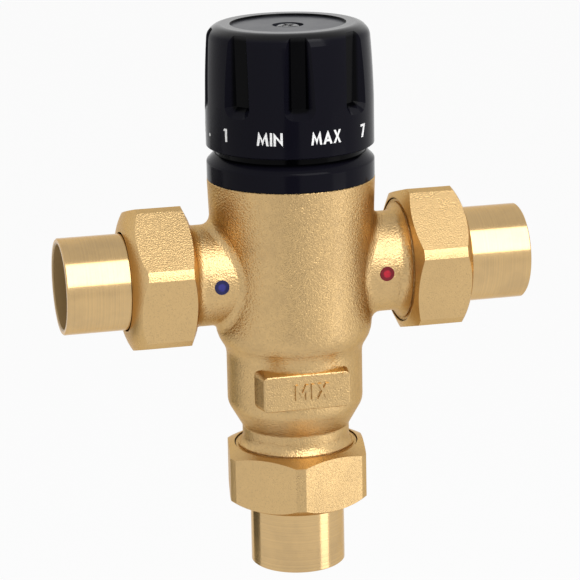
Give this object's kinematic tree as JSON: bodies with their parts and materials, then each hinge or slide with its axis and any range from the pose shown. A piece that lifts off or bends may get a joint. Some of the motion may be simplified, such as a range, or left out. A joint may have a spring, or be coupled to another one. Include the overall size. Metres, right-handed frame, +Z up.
{
  "type": "thermostatic mixing valve",
  "caption": "Three-way brass mixing valve with union nuts and tails on its hot and cold inlets and mixed outlet, and a fluted numbered knob on top that sets the outlet temperature.",
  "frame": {"origin": "where the axis of the two inlets crosses the axis of the knob and the mixed outlet, inside the body", "axes": "+Z up along the knob's axis, +X out of the hot inlet, -X out of the cold inlet, -Y out of the lettered front"},
  "size_m": [0.1252, 0.0444, 0.1472],
  "materials": {
    "cast_brass": "blasted casting",
    "forged_brass": "forged, lightly blasted",
    "turned_brass": "turned",
    "black_plastic": "moulded, semi-gloss",
    "disc_plastic": "matt",
    "shutter_plastic": "moulded",
    "seal_rubber": "matt",
    "spring_steel": "stainless",
    "screw_steel": "plated",
    "blue_dot": "enamel",
    "red_dot": "enamel"
  },
  "bodies": {
    "valve": {"valve_body": "cast_brass", "cold_marker": "blue_dot", "hot_marker": "red_dot", "spring_retainer": "spring_steel", "return_spring": "spring_steel", "bonnet": "turned_brass", "bonnet_o_ring": "seal_rubber", "collar_ring": "black_plastic", "cold_union_nut": "forged_brass", "cold_tailpiece": "turned_brass", "cold_gasket": "seal_rubber", "hot_union_nut": "forged_brass", "hot_tailpiece": "turned_brass", "hot_gasket": "seal_rubber", "mixed_union_nut": "forged_brass", "mixed_tailpiece": "turned_brass", "mixed_gasket": "seal_rubber"},
    "dial": {"knob": "black_plastic", "knob_disc": "disc_plastic", "knob_screw": "screw_steel", "spindle": "turned_brass", "spindle_o_rings": "seal_rubber", "spindle_clip": "spring_steel"},
    "carrier": {"carrier": "turned_brass", "carrier_clip": "spring_steel", "overload_spring": "spring_steel"},
    "plunger": {"overload_plunger": "turned_brass", "element_pin": "spring_steel"},
    "shutter": {"shutter": "shutter_plastic", "shutter_o_ring": "seal_rubber", "wax_element": "turned_brass", "element_nut": "turned_brass"}
  },
  "joints": [
    {"name": "knob_turn", "type": "hinge", "parent": "valve", "child": "dial", "pos_m": [0, 0, 0], "axis": [0, 0, 1], "range_deg": [-160.35, 160.35]},
    {"name": "carrier_slide", "type": "slide", "parent": "valve", "child": "carrier", "axis": [0, 0, 1], "range_m": [-0.00089, 0.00089]},
    {"name": "overload_slide", "type": "slide", "parent": "carrier", "child": "plunger", "axis": [0, 0, 1], "range_m": [0, 0.0015], "stiffness_N_per_m": 15000, "springref_m": -0.001, "deforming": ["overload_spring"]},
    {"name": "shutter_slide", "type": "slide", "parent": "carrier", "child": "shutter", "axis": [0, 0, 1], "range_m": [-0.0009, 0.0009], "stiffness_N_per_m": 9000, "deforming": ["return_spring"]}
  ],
  "couplings": [
    {"joint": "knob_turn", "follows": "carrier_slide", "rad_per_m": 3141.6}
  ]
}
